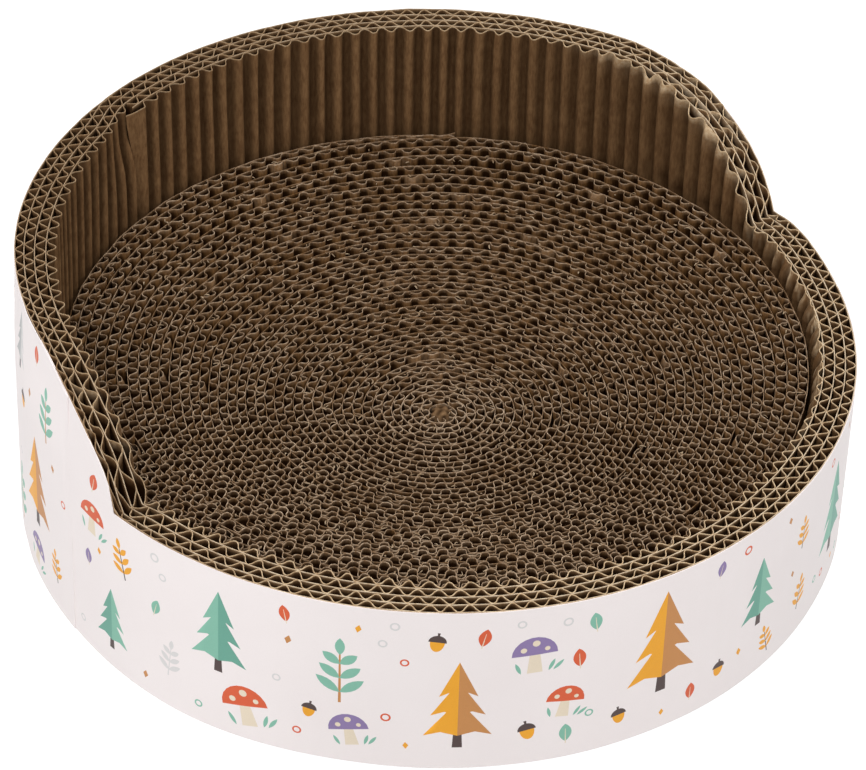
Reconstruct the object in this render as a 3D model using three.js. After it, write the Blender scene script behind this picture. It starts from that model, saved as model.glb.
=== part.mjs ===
// Round cardboard cat scratcher: a wound wall with a tall back, a dished scratching pad that lifts out,
// a printed paper wrap and a base disc. Millimetres, +Z up, the floor at z = 0, the low front towards -Y.
import * as THREE from 'three';

// Overall sizes
const OUTER_DIAMETER = 380;
const LOW_RIM = 89;
const TALL_RIM = 139;

// Top edge of the wall: angles in degrees, measured from the middle of the tall back. The saw cut slants, so
// each drop is rounder on the outside of the wall than on the inside
const BACK_DIRECTION = 90;
const LEFT_DROP_FOOT = 95;
const LEFT_DROP_SPAN = 20;
const LEFT_OUTER_ROUNDING = 0.45;
const LEFT_INNER_ROUNDING = 1.25;
const RIGHT_DROP_FOOT = 96.5;
const RIGHT_DROP_SPAN = 31.5;
const RIGHT_OUTER_ROUNDING = 0.8;
const RIGHT_INNER_ROUNDING = 0.95;

// Wall: single-face corrugated strip, wound with its liner outside and its flutes inside
const WALL_TURNS = 4;
const WALL_LAYER = 4.8;
const WALL_FLUTES_PER_TURN = 126;
const WALL_LINER = 0.5;
const WALL_FLUTE_PAPER = 0.5;
const WALL_END_DIRECTION = 131.7;
const WALL_JOG_SPAN = 25;

// Printed wrap: one sheet around the wall, with a glued lap
const WRAP_PAPER = 0.4;
const WRAP_STEPS = 144;
const WRAP_SEAM_DIRECTION = 165;
const WRAP_LAP_SPAN = 10;
const WRAP_FLOOR_CLEARANCE = 0.5;

// Scratching pad: a strip wound clockwise from the centre outwards, its middle pushed down into a dish. Open slots
// are left between its turns
const PAD_TURNS = 24;
const PAD_STEPS_PER_TURN = 24;
const PAD_STRIP_WIDTH = 37.7;
const PAD_DISH = 39.5;
const PAD_END_DIRECTION = 48;
const PAD_TURN_GAP = 2.2;
const PAD_SIDE_CLEARANCE = 1.5;

// Base disc under the wall
const BASE_THICKNESS = 3;
const BASE_SIDES = 72;

// Gap that glued and resting faces keep
const GLUE_GAP = 0.3;

// Sizes that follow from the ones above
const WRAP_RADIUS = OUTER_DIAMETER / 2;
const WALL_RADIUS = WRAP_RADIUS - WRAP_PAPER - GLUE_GAP;
const WALL_INNER_RADIUS = WALL_RADIUS - WALL_TURNS * WALL_LAYER;
const WALL_BOTTOM = BASE_THICKNESS + GLUE_GAP;
const PAD_RADIUS = WALL_INNER_RADIUS - PAD_SIDE_CLEARANCE;
const PAD_BOTTOM = BASE_THICKNESS + GLUE_GAP;

const radians = THREE.MathUtils.degToRad;

// Signed angle from the middle of the back, between -180 and 180 degrees, positive to the left
function angleFromBack(direction) {
  return THREE.MathUtils.euclideanModulo(direction - BACK_DIRECTION + 180, 360) - 180;
}

// Height of the wall's top edge: tall at the back, low at the front, a rounded drop between
function rimHeight(direction, radius) {
  const inset = THREE.MathUtils.clamp((WALL_RADIUS - radius) / (WALL_RADIUS - WALL_INNER_RADIUS), 0, 1);
  const fromBack = angleFromBack(direction);
  const left = fromBack > 0;
  const foot = left ? LEFT_DROP_FOOT : RIGHT_DROP_FOOT;
  const span = left ? LEFT_DROP_SPAN : RIGHT_DROP_SPAN;
  const outerRounding = left ? LEFT_OUTER_ROUNDING : RIGHT_OUTER_ROUNDING;
  const innerRounding = left ? LEFT_INNER_ROUNDING : RIGHT_INNER_ROUNDING;
  const rounding = THREE.MathUtils.lerp(outerRounding, innerRounding, inset);
  const across = THREE.MathUtils.clamp((Math.abs(fromBack) - foot + span) / span, 0, 1);
  return LOW_RIM + (TALL_RIM - LOW_RIM) * (1 - across ** 2) ** rounding;
}

// One upright edge-to-edge slice of a strip: its direction, two radii and two heights
function column(direction, outerRadius, thickness, bottom, top) {
  const heading = new THREE.Vector2(Math.cos(radians(direction)), Math.sin(radians(direction)));
  return {
    outer: heading.clone().multiplyScalar(outerRadius),
    inner: heading.clone().multiplyScalar(outerRadius - thickness),
    bottom,
    top,
  };
}

// A closed strip standing on edge through a list of columns that run anticlockwise
function stripGeometry(columns) {
  const positions = [];
  for (const { outer, inner, bottom, top } of columns) {
    positions.push(outer.x, outer.y, bottom);
    positions.push(outer.x, outer.y, top);
    positions.push(inner.x, inner.y, top);
    positions.push(inner.x, inner.y, bottom);
  }
  const corners = 4;
  const index = [0, 1, 2, 0, 2, 3];
  for (let i = 0; i < columns.length - 1; i++) {
    for (let k = 0; k < corners; k++) {
      const a = i * corners + k;
      const b = i * corners + ((k + 1) % corners);
      const c = b + corners;
      const d = a + corners;
      index.push(a, d, c, a, c, b);
    }
  }
  const last = (columns.length - 1) * corners;
  index.push(last, last + 2, last + 1, last, last + 3, last + 2);
  const geometry = new THREE.BufferGeometry();
  geometry.setAttribute('position', new THREE.Float32BufferAttribute(positions, 3));
  geometry.setIndex(index);
  geometry.computeVertexNormals();
  return geometry;
}

// Least plan distance between the columns of one turn and those of the next
function leastGap(columns, stepsPerTurn) {
  const reach = 3;
  let least = Infinity;
  for (let i = 0; i < columns.length; i++) {
    for (let j = i + stepsPerTurn - reach; j <= i + stepsPerTurn + reach && j < columns.length; j++) {
      least = Math.min(least, columns[i].outer.distanceTo(columns[j].inner));
      least = Math.min(least, columns[i].inner.distanceTo(columns[j].outer));
    }
  }
  return least;
}

function windingMesh(name, columns, stepsPerTurn, material) {
  console.log(`${name}: least gap to itself ${leastGap(columns, stepsPerTurn).toFixed(2)} mm`);
  return namedMesh(name, stripGeometry(columns), material);
}

function namedMesh(name, geometry, material) {
  const mesh = new THREE.Mesh(geometry, material);
  mesh.name = name;
  return mesh;
}

// Outer radius of the wall's liner after a number of turns from the strip's outer end: each turn is round,
// and steps in by one layer in the jog just before the strip meets its own end
function wallRadius(turns) {
  const whole = Math.floor(turns);
  const jogShare = WALL_JOG_SPAN / 360;
  const jog = THREE.MathUtils.smoothstep(turns - whole, 1 - jogShare, 1);
  return WALL_RADIUS - WALL_LAYER * (whole + jog);
}

// Number of steps along the wall's strip, which ends at the jog that a further turn would need
function wallSteps(stepsPerTurn) {
  return Math.floor((WALL_TURNS - WALL_JOG_SPAN / 360) * stepsPerTurn);
}

function wallLiner(material) {
  const columns = [];
  for (let i = 0; i <= wallSteps(WALL_FLUTES_PER_TURN); i++) {
    const turns = i / WALL_FLUTES_PER_TURN;
    const direction = WALL_END_DIRECTION + 360 * turns;
    const radius = wallRadius(turns);
    columns.push(column(direction, radius, WALL_LINER, WALL_BOTTOM, rimHeight(direction, radius)));
  }
  return windingMesh('wall_liner', columns, WALL_FLUTES_PER_TURN, material);
}

// The fluting zigzags between its own liner and the liner of the next turn in
function wallFluting(material) {
  const stepsPerTurn = 2 * WALL_FLUTES_PER_TURN;
  const outerTip = WALL_LINER + GLUE_GAP;
  const innerTip = WALL_LAYER - GLUE_GAP - WALL_FLUTE_PAPER;
  const columns = [];
  for (let i = 0; i <= wallSteps(stepsPerTurn); i++) {
    const turns = i / stepsPerTurn;
    const direction = WALL_END_DIRECTION + 360 * turns;
    const radius = wallRadius(turns) - (i % 2 === 0 ? outerTip : innerTip);
    columns.push(column(direction, radius, WALL_FLUTE_PAPER, WALL_BOTTOM, rimHeight(direction, radius)));
  }
  return windingMesh('wall_fluting', columns, stepsPerTurn, material);
}

// The wrap goes once round and climbs over its own start for the lap
function printedWrap(material) {
  const stepAngle = 360 / WRAP_STEPS;
  const lapSteps = Math.round(WRAP_LAP_SPAN / stepAngle);
  const columns = [];
  for (let i = 0; i <= WRAP_STEPS + lapSteps; i++) {
    const direction = WRAP_SEAM_DIRECTION + i * stepAngle;
    const lapped = i >= WRAP_STEPS - 1;
    const radius = lapped ? WRAP_RADIUS + WRAP_PAPER + GLUE_GAP : WRAP_RADIUS;
    columns.push(column(direction, radius, WRAP_PAPER, WRAP_FLOOR_CLEARANCE, rimHeight(direction, radius)));
  }
  return namedMesh('printed_wrap', stripGeometry(columns), material);
}

// The pad's strip, followed inwards from its outer end: it spirals at a steady rate and sinks with the square
// of its radius
function padStrip(material) {
  const pitch = (PAD_RADIUS + PAD_TURN_GAP / 2) / (PAD_TURNS + 1);
  const thickness = pitch - PAD_TURN_GAP;
  const columns = [];
  for (let i = 0; i <= PAD_TURNS * PAD_STEPS_PER_TURN; i++) {
    const turns = i / PAD_STEPS_PER_TURN;
    const outerRadius = PAD_RADIUS - pitch * turns;
    const bottom = PAD_BOTTOM + PAD_DISH * (outerRadius / PAD_RADIUS) ** 2;
    const direction = PAD_END_DIRECTION + 360 * turns;
    columns.push(column(direction, outerRadius, thickness, bottom, bottom + PAD_STRIP_WIDTH));
  }
  return windingMesh('pad_strip', columns, PAD_STEPS_PER_TURN, material);
}

function baseDisc(material) {
  const geometry = new THREE.CylinderGeometry(WALL_RADIUS, WALL_RADIUS, BASE_THICKNESS, BASE_SIDES);
  geometry.rotateX(Math.PI / 2);
  const mesh = namedMesh('base_disc', geometry, material);
  mesh.position.z = BASE_THICKNESS / 2;
  return mesh;
}

function paper(color, roughness) {
  return new THREE.MeshStandardMaterial({ color, roughness, metalness: 0 });
}

const scratcher = new THREE.Group();
scratcher.add(baseDisc(paper('#8f7556', 0.95)));
scratcher.add(wallLiner(paper('#a58a68', 0.95)));
scratcher.add(wallFluting(paper('#86694a', 0.95)));
scratcher.add(printedWrap(paper('#f0e8e6', 0.6)));
scratcher.add(padStrip(paper('#7a6047', 0.95)));

export default scratcher;
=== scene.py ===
# Round cardboard cat scratcher: its looks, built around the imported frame. Metres, +Z up, the low front
# towards -Y
import math

import bpy
import numpy as np
from mathutils import Matrix, Vector
from mathutils.geometry import delaunay_2d_cdt


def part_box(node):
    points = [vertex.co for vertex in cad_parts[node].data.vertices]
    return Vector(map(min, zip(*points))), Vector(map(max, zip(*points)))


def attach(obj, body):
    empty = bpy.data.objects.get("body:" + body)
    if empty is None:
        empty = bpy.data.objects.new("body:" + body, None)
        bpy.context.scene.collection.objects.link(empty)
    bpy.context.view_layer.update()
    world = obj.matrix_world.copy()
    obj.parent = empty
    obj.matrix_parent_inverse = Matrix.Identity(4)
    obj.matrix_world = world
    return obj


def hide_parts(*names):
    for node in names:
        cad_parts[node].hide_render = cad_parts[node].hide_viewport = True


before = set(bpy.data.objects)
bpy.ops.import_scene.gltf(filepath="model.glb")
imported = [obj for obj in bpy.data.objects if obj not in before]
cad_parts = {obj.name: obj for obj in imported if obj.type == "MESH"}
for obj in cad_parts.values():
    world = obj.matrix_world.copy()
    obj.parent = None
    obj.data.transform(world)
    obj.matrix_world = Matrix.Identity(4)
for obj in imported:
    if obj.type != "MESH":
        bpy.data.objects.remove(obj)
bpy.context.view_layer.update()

MM = 0.001
FULL_TURN = 2 * math.pi
SQUARE = ((-1, -1), (1, -1), (1, 1), (-1, 1))

# Camera, fitted to the photograph: where it stands as seen from the base's centre, and where that centre
# falls in the picture
PHOTO_WIDTH = 866
FOCAL_LENGTH_PX = 3654.3
SENSOR_WIDTH = 36.0
CAMERA_DIRECTION = math.radians(230)
CAMERA_ELEVATION = math.radians(40.2)
CAMERA_DISTANCE = 1.708
CAMERA_ROLL = math.radians(1.79)
ORIGIN_RIGHT_PX = 2.1
ORIGIN_BELOW_PX = 96.3

# Studio: a pale floor, light from all round, and soft lamps with their direction and elevation in degrees,
# distance, size and power
FLOOR_REACH = 6.0
FLOOR_DROP = 0.2 * MM
FLOOR_COLOUR = (0.3, 0.3, 0.3, 1)
FLOOR_GLOW = 0.9
WHITE = (1, 1, 1, 1)
WORLD_LIGHT = 0.46
SOFTBOXES = {
    "key": (222, 56, 2.2, 1.6, 44),
    "left": (145, 16, 2.4, 1.1, 14),
    "right": (315, 16, 2.4, 1.1, 15),
}

# Colours: each kraft paper has a dark and a light tone for its faces, then for its cut edges
KRAFT_TONES = {
    "wall_board": ("#6d5136", "#8a6c4c", "#b79c7c", "#dcc9ae"),
    "wall_flutes": ("#5e432b", "#7b5d3f", "#b1906a", "#d6be9c"),
    "pad_board": ("#462e18", "#7c5935", "#86694c", "#c6ae94"),
    "pad_crumbs": ("#6a5038", "#86694b", "#927a5e", "#b8a388"),
    "base_board": ("#8a6c4c", "#a3845f", "#a3845f", "#bfa27b"),
}
# Painted shade: the colour that paper fades to deep inside a closed cell
CELL_SHADE_COLOUR = "#1c0d03"
WRAP_TONES = ("#f3ebea", "#efe6e5")
INK_SHADE = 0.9
INKS = {
    "orange": "#d9603b",
    "teal": "#84bba6",
    "deep_teal": "#6aa492",
    "mustard": "#f0a830",
    "bronze": "#c68a52",
    "grey": "#b5b5b5",
    "pale_grey": "#dcd9d8",
    "brown": "#4a3a38",
    "cream": "#ebdcc5",
    "purple": "#8e7ba8",
}

# Seeds of the random draws, apart from those of the flutes
WALL_LINER_SEED = 11
MOTIF_SEED = 23
WRAP_SEED = 41
PAD_WARP_SEED = 51
PAD_STEP_SEED = 61
PAD_LINER_SEED = 71
CRUMB_SEED = 81
LUMP_SEED = 83

# Top edge of the wall: each drop has its foot, in degrees from the middle of the tall back, its span, and its
# rounding on the outside and on the inside of the wall, which differ because the saw cut slants
BACK_DIRECTION = 90
LEFT_DROP = (95, 20, 0.53, 0.8)
RIGHT_DROP = (96, 31.5, 0.8, 0.95)
RIGHT_INNER_LAG = 2
NOTCH_DEPTH = 3.0 * MM
NOTCH_SPAN = 3.0
LOW_RIM_TILT = 1.4 * MM
LOW_RIM_LOWEST = 340

# Wall: single-face corrugated strip, four turns from its outer end to its inner end. In the jog it steps in
# by one layer, and its crushed outer end fills the wedge that this leaves under the wrap. The two pieces of
# its flutes have a number of levels, a seed, the steepness of sides, the breadth of free tips and unevenness
WALL_TURNS = 4
WALL_INNER_END = 106
WALL_JOG_SPAN = 8
WALL_OUTER_LEAD = 9
WALL_FLUTE_PITCH = 8.7 * MM
WALL_LINER_PAPER = 0.42 * MM
WALL_FLUTE_PAPER = 0.40 * MM
WALL_FLUTE_POINTS = 12
WALL_FLUTE_PIECES = {
    "wall_fluting_outer": (6, 21, 0.05, 0.0, 0.07),
    "wall_fluting_inner": (20, 31, 0.1, -0.05, 0.09),
}
FLUTE_WANDER = 0.35 * MM
TIP_WANDER = 0.10 * MM
WANDER_WAVE = 0.06
WALL_LINER_STEP = 3.0 * MM
WALL_LINER_SWAY = 0.16 * MM
WALL_LINER_LOOSE = np.array([0, 0, 0.15, 0.5, 0.85, 1.0])

# Sawn top of the wall: its finest levels, its unevenness, and how pale it and the torn paper below are.
# Closed cells get painted shade between two depths, the second of them greater where light falls in
SAWN_BAND = 5 * MM
SAWN_DROPS = np.array([2.2, 0.6, 0]) * MM
SAWN_UNEVENNESS = 0.55 * MM
SAWN_PALENESS = 0.86
SAWN_BLOTCHES = 0.14
TORN_PALENESS = (0.3, 0.7)
TORN_REACH = 8 * MM
TORN_SIDEWAYS = 0.7 * MM
TORN_INWARDS = 0.4 * MM
CELL_DUSK = -0.5 * MM
CELL_DARK = 3 * MM
CELL_LIT = 7 * MM
TIP_RANGE = (0.2, 0.65)

# Zones of the wall: middle and reach in degrees from the back, positive to the left, and strength. These
# move the wall out of round
SQUEEZED = (90, 62, 0.62)
LEANING = (42, 50, 1.3 * MM)
THINNED = (84, 42, 0.2)
THINNED_FADE = (72, 94)
BULGING = (-90, 30, 2.8 * MM)
SWOLLEN = (106, 28, 2.0 * MM)

# Further zones: torn, worn, dull and lit edges, painted shade on edges and grooves, and the innermost flutes
RAGGED_ANYWHERE = 0.35
RAGGED_RIGHT = (-86, 26, 1.0)
RAGGED_LEFT = (88, 18, 0.7)
WORN_RIGHT = (-125, 36, 2)
WORN_LEFT = (90, 14, 0.4)
DULL_BACK = (25, 125, 0.65)
# Painted shade that dulls the sawn edge on the outside of the left drop
PAINTED_SHADE_LEFT_DROP = (85, 50, 0.75)
LIT_RIGHT = (-88, 18, 0.3)
LIT_LEFT = (87, 16, 0.15)
# Zones where the painted shade of the innermost grooves is broad or narrow
BROAD_GROOVE_SHADE = (50, 60, 0.55)
NARROW_GROOVE_SHADE = (-78, 45, 1)
TORN_FLUTES = (-80, 24, 1)

# Innermost turn: the shade of its grooves and of its foot behind the pad's rim, its torn tops, and the flap
# at the strip's inner end with the crushed flutes beside it. SLOT_CLOSED, CRUSHED_FROM and UNROLLED are
# shares of the wall's full height
GROOVE_SHADE = 0.64
GROOVE_FADE = 0.2
NARROW_FADE = (0.15, 0.35)
NARROW_SHADE = 0.28
FOOT_SHADE = 0.95
FOOT_TIP_LIGHT = 0.4
FOOT_BELOW_RIM = 1 * MM
FOOT_REACH = 9 * MM
RUBBED_TOP = (1 * MM, 9 * MM)
RUBBED_LIGHT = 0.8
TEAR_DEPTH = 5 * MM
WORN_FRAY = 0.35 * MM
SLOT_CLOSED = (0.76, 0.92)
CRUSHED = (14 * MM, 20 * MM)
CRUSHED_FROM = 0.6
CRUSHED_SHIFT = 1.2 * MM
UNROLLED = (0.72, 1.0)
FLAP_WIDTH = 13.5 * MM

# Printed wrap: one sheet around the wall, with a glued lap that climbs over its start between two angles
WRAP_PAPER = 0.4 * MM
WRAP_SEAM_DIRECTION = 165
WRAP_LAP_SPAN = 10
WRAP_CLIMB = (350, 355)
WRAP_GRID_STEP = 3.0 * MM
WRAP_LEVELS = 12
WRAP_BELOW_RIM = 0.3 * MM
WRAP_INSET = 0.1 * MM
WRAP_RIPPLE = 0.10 * MM
WRAP_RIPPLE_WAVE = 0.07
MOTIF_TRIES = 60
MOTIF_SIZES = (0.85, 1.15)
MOTIF_SEAM_MARGIN = 4 * MM
MOTIF_FOOT_MARGIN = 7 * MM
MOTIF_RIM_MARGIN = 6 * MM
MOTIF_TILT = 14
UPRIGHT_FROM = 30 * MM
WELD_DISTANCE = 1e-6

# Scratching pad: a finer strip, wound clockwise from the centre outwards. Its outer turns are round, and step
# in only under the strip's outer end, whose tail is turned up
PAD_TURNS = 38
PAD_END_DIRECTION = 48
PAD_STEP_LEAD = 16
PAD_STEP_SPAN = 46
PAD_ROUND_TURNS = (1, 7)
PAD_TAIL = 9 * MM
PAD_TAIL_RISE = 1.5 * MM
PAD_TAIL_SPREAD = 0.9 * MM
PAD_CORE_RADIUS = 2.2 * MM
PAD_CORE_SHIFT = Vector((3.6 * MM, -0.4 * MM))
PAD_STRIP_WIDTH = 37.7 * MM
PAD_SIDE_CLEARANCE = 1.6 * MM
PAD_LINER_PAPER = 0.33 * MM
PAD_LINER_STEP = 2.8 * MM
PAD_LINER_SWAY = 0.22 * MM
PAD_WANDER = 0.55 * MM
PAD_WANDER_WAVE = 0.075
CORE_CRUMPLE = 0.6 * MM
CORE_CRUMPLE_WAVE = 0.006
CORE_CRUMPLE_FADE = (3 * MM, 16 * MM)

# Flutes of the pad, in pieces with the radius of their inner end and a seed. Their sides are steepest towards
# the front, opposite to the slant direction. Their free tips stand proud, but not in front of the centre
PAD_FLUTE_PIECES = {
    "pad_fluting_rim": (138 * MM, 101),
    "pad_fluting_middle": (98 * MM, 151),
    "pad_fluting_core": (7 * MM, 201),
}
PAD_FLUTE_PITCH = 8.6 * MM
PAD_FLUTE_PAPER = 0.30 * MM
PAD_FLUTE_POINTS = 10
PAD_FLANK = 0.36
PAD_FLANK_SWING = 0.12
PAD_SLANT_DIRECTION = math.radians(50)
PAD_BROAD_TIPS = 0.08
PAD_PITCH_JITTER = 0.045
PAD_FLUTE_LEAN = 0.4 * MM
PAD_FLUTE_SWAY = 0.28 * MM
PAD_FLUTE_FRAY = 0.2 * MM
PAD_PROUD_TIPS = 0.8 * MM
FLUSH_SHARE = 0.9
FLUSH_TO_FRONT = (-0.2, 0.8)
FLUSH_FADE = (60 * MM, 110 * MM)

# Flattened flutes: how flat, and how likely they are anywhere, in patches and at a rubbed spot
FLATTENED = (0.35, 0.8)
FLATTENED_SINK = 1.6 * MM
FLATTENED_ANYWHERE = 0.015
FLATTENED_PATCHES = 0.08
PATCH_WAVE = 0.05
PATCH_LEVEL = 1.3
RUBBED_SPOT = Vector((21.6 * MM, 27.7 * MM))
RUBBED_SPOT_ZONE = (0, 16 * MM, 0.6)

# Sawn top of the pad: its unevenness, how pale its edges are, with zones by radius, and the levels of the
# strip below it, with how much the sawing has moved the paper there and its shade in cells and on free tips
PAD_TURN_STEP = 0.35 * MM
PAD_TOP_SINK = 0.4 * MM
PAD_LINER_UNEVENNESS = 0.3 * MM
PAD_FLUTE_UNEVENNESS = 0.4 * MM
PAD_LINER_PALENESS = 0.42
PAD_FLUTE_PALENESS = 0.7
PALE_MIDDLE = (0, 50 * MM, 0.35)
PALE_CORE = (0, 12 * MM, 0.45)
PAD_LEVEL_DROPS = np.concatenate([[PAD_STRIP_WIDTH, 6 * MM], SAWN_DROPS])
PAD_LOOSE = np.array([0, 0.1, 0.6, 0.9, 1.0])
PAD_SHADE = np.array([1.0, 1.0, 0.95, 0.45, 0])
PAD_TIP_SHADE = np.array([1.0, 0.9, 0.3, 0.05, 0])

# Crumpled start of the pad's strip, and crumbs on the pad
LUMP_RADIUS = 5.0 * MM
LUMP_SINK = 0.3 * MM
LUMP_RISE = 1.2 * MM
LUMP_CREASE = 0.35 * MM
LUMP_CREASE_WAVE = 0.004
LUMP_DEPTH = 8 * MM
CRUMBS = 1000
CRUMB_SPREAD = 0.97
CRUMB_LENGTHS_MM = (0.8, 3.8)
CRUMB_HALF_WIDTHS_MM = (0.12, 0.45)
CRUMB_HALF_THICKNESS_MM = 0.07
CRUMB_RISES_MM = (-0.1, 0.9)
CRUMB_CURL = 1.2

# Gap that glued papers keep, so that no two faces lie in one plane
PAPER_GAP = 0.05 * MM

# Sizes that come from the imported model
wrap_low, wrap_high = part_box("printed_wrap")
pad_low, pad_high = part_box("pad_strip")
WRAP_RADIUS = wrap_high.x
WRAP_BOTTOM = wrap_low.z
TALL_RIM = wrap_high.z
LOW_RIM = max(v.co.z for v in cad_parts["printed_wrap"].data.vertices if v.co.y < wrap_low.y / 2)
WALL_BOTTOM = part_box("wall_liner")[0].z
WALL_RADIUS = WRAP_RADIUS - WRAP_PAPER - PAPER_GAP
PAD_RADIUS = max(v.co.xy.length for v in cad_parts["pad_strip"].data.vertices)
PAD_BOTTOM = pad_low.z
PAD_RIM = pad_high.z
PAD_DISH = PAD_RIM - PAD_STRIP_WIDTH - PAD_BOTTOM
PAD_PITCH = (PAD_RADIUS - PAD_CORE_RADIUS) / PAD_TURNS
WALL_INNER_RADIUS = PAD_RADIUS + PAD_SIDE_CLEARANCE
WALL_LAYER = (WALL_RADIUS - WALL_INNER_RADIUS) / WALL_TURNS


def smoothstep(value, low, high):
    t = np.clip((value - low) / (high - low), 0, 1)
    return t * t * (3 - 2 * t)


def bump_at(value, middle, reach):
    """A smooth hump of height 1 at middle that fades out at reach on either side."""
    return 1 - smoothstep(np.abs(value - middle), 0, reach)


def zone(value, place):
    """Strength, at a value, of a zone given by its middle, its reach and its full strength."""
    middle, reach, strength = place
    return strength * bump_at(value, middle, reach)


def from_back(direction):
    """Angle from the middle of the back, in degrees between -180 and 180, positive to the left."""
    return (direction - BACK_DIRECTION + 180) % 360 - 180


def rim_height(direction, radius):
    """Height of the wall's top edge: tall at the back, low at the front, with rounded and notched drops."""
    inset = np.clip((WALL_RADIUS - radius) / (WALL_RADIUS - WALL_INNER_RADIUS), 0, 1)
    away = from_back(direction)
    left = away > 0
    foot, span, outer, inner = (np.where(left, *sides) for sides in zip(LEFT_DROP, RIGHT_DROP))
    foot = foot + np.where(left, 0, RIGHT_INNER_LAG * inset)
    across = np.clip((np.abs(away) - foot + span) / span, 0, 1)
    share = (1 - across**2) ** (outer + (inner - outer) * inset)
    beyond = (np.abs(away) - foot) / NOTCH_SPAN
    notch = NOTCH_DEPTH * np.exp(-(beyond**2)) * np.where(left, inset, 1)
    tilt = LOW_RIM_TILT * np.cos(np.radians(direction - LOW_RIM_LOWEST)) * (1 - share)
    return LOW_RIM + (TALL_RIM - LOW_RIM) * share - notch - tilt


def waves(seed, wavelength, count=7):
    """A smooth random field over a plane, about between -1 and 1, as a sum of plane waves."""
    draw = np.random.default_rng(seed)
    heading = draw.uniform(0, FULL_TURN, count)
    stretch = draw.uniform(0.7, 1.5, count)
    phase = draw.uniform(0, FULL_TURN, count)

    def field(x, y):
        total = np.zeros(np.broadcast(x, y).shape)
        for h, k, p in zip(heading, stretch, phase):
            total = total + np.sin((x * math.cos(h) + y * math.sin(h)) * FULL_TURN * k / wavelength + p)
        return total / math.sqrt(count)

    return field


def rough(seed, count, smoothing=1):
    """A column of random values, about between -1 and 1, smoothed along the strip."""
    values = np.random.default_rng(seed).uniform(-1, 1, count + 2 * smoothing)
    kernel = np.ones(2 * smoothing + 1) / math.sqrt(2 * smoothing + 1)
    return np.convolve(values, kernel, "valid")[:, None]


def per_flute(draw, low, high, flutes, points):
    """A column with one random value for all points of each flute."""
    return np.repeat(draw.uniform(low, high, flutes), points)[:, None]


class Winding:
    """A strip's line in plan, followed anticlockwise and inwards from its outer end."""

    STEPS_PER_TURN = 1440

    def __init__(self, radius_of, zero_direction, first_turn, last_turn):
        self.turns = np.linspace(first_turn, last_turn, int((last_turn - first_turn) * self.STEPS_PER_TURN))
        self.radius = radius_of(self.turns)
        self.angle = math.radians(zero_direction) + FULL_TURN * self.turns
        x = self.radius * np.cos(self.angle)
        y = self.radius * np.sin(self.angle)
        self.length = np.concatenate([[0], np.cumsum(np.hypot(np.diff(x), np.diff(y)))])
        self.total = self.length[-1]

    def at(self, length):
        """Angle and radius at a length."""
        return np.interp(length, self.length, self.angle), np.interp(length, self.length, self.radius)

    def length_at_turn(self, turn):
        return float(np.interp(turn, self.turns, self.length))

    def length_at_radius(self, radius):
        return float(np.interp(-radius, -self.radius, self.length))


def flute_line(flutes, points, pitch, flank, broad, unevenness, seed):
    """Columns of a row of flutes: length along it, and depth from 0 at its liner to 1 at its free tips.

    flank makes the sides of all flutes, or of each, steep; broad widens the free tips."""
    phase = np.arange(points) / points
    turn = FULL_TURN * phase
    along = phase + (np.reshape(flank, (-1, 1)) * np.sin(2 * turn) - broad * np.sin(turn)) / FULL_TURN
    deep = (1 - np.cos(turn)) / 2
    draw = np.random.default_rng(seed)
    shift = draw.uniform(-1, 1, flutes + 1) * unevenness
    start = np.arange(flutes)[:, None] + shift[:-1, None]
    width = 1 + shift[1:, None] - shift[:-1, None]
    length = (start + along * width) * pitch
    return length.reshape(-1, 1), np.tile(deep, flutes)[:, None]


def polar(radius, angle):
    return np.stack([radius * np.cos(angle), radius * np.sin(angle)], -1)


def add_object(name, data):
    made = bpy.data.objects.new(name, data)
    bpy.context.scene.collection.objects.link(made)
    return made


def new_piece(name, verts, faces, materials, face_material=None):
    """A mesh object with smooth faces and sharp edges where it turns a corner."""
    mesh = bpy.data.meshes.new(name)
    mesh.from_pydata(verts.tolist(), [], faces.tolist() if hasattr(faces, "tolist") else faces)
    for material in materials:
        mesh.materials.append(material)
    if face_material is not None:
        mesh.polygons.foreach_set("material_index", np.asarray(face_material, np.int32))
    mesh.shade_smooth()
    mesh.set_sharp_from_angle(angle=math.radians(58))
    return add_object(name, mesh)


def add_values(piece, name, values):
    """A number per vertex that the piece's material reads."""
    attribute = piece.data.attributes.new(name, "FLOAT", "POINT")
    attribute.data.foreach_set("value", np.asarray(values, np.float32).ravel())


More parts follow.
